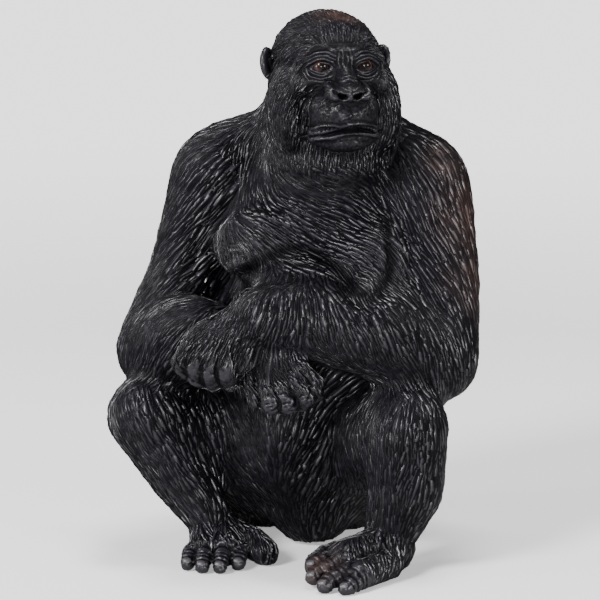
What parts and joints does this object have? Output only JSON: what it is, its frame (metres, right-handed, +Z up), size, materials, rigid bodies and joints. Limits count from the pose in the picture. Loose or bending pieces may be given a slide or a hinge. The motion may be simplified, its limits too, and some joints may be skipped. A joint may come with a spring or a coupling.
{
  "type": "seated gorilla figurine",
  "caption": "Small solid plastic figurine of a seated gorilla with knees drawn up and forearms crossed over them.",
  "frame": {"origin": "middle of the figure's bounding box, at the level of its soles and seat", "axes": "+Z up, -Y the way the figure sits facing, +X to the figure's own left"},
  "size_m": [0.0506, 0.0462, 0.075],
  "materials": {
    "black_plastic": "satin near-black vinyl, carved hair, brown dry-brushed tint",
    "eye_paint": "gloss reddish-brown paint"
  },
  "bodies": {
    "root": {"head": "black_plastic", "ear_right": "black_plastic", "ear_left": "black_plastic", "eye_right": "eye_paint", "eye_left": "eye_paint", "neck": "black_plastic", "chest": "black_plastic", "belly": "black_plastic", "pelvis": "black_plastic", "upper_arm_right": "black_plastic", "upper_arm_left": "black_plastic", "forearm_right": "black_plastic", "forearm_left": "black_plastic", "hand_right": "black_plastic", "hand_left": "black_plastic", "thigh_right": "black_plastic", "thigh_left": "black_plastic", "shin_right": "black_plastic", "shin_left": "black_plastic", "foot_right": "black_plastic", "foot_left": "black_plastic"}
  },
  "joints": []
}
